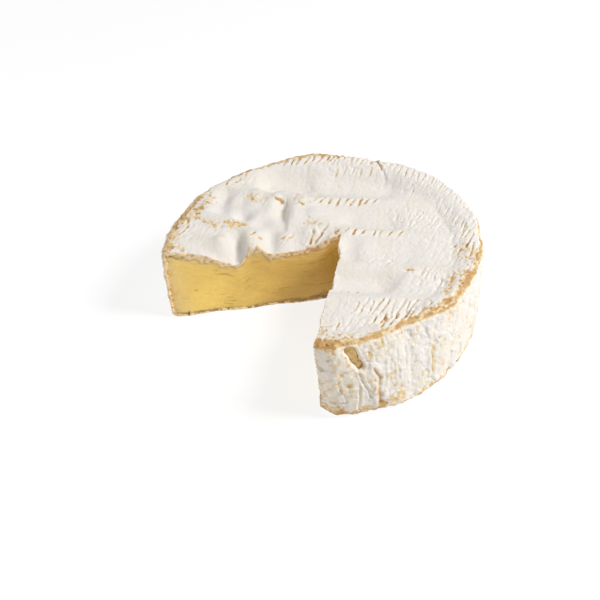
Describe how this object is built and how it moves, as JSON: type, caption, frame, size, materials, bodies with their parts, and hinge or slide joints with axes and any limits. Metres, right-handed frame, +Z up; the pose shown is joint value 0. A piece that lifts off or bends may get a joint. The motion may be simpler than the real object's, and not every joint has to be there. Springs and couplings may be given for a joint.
{
  "type": "camembert cheese",
  "caption": "Small round soft-ripened cheese with a white rind, one wedge cut out, standing flat on its base",
  "frame": {"origin": "Middle of the bounding box's bottom face, on the table under the round", "axes": "+Z up, through the flat faces of the round. +X to the right and +Y away from the viewer; the missing wedge opens towards -X and -Y"},
  "size_m": [0.1081, 0.1099, 0.032],
  "materials": {
    "rind": "matte"
  },
  "bodies": {
    "root": {"camembert": "rind"}
  },
  "joints": []
}
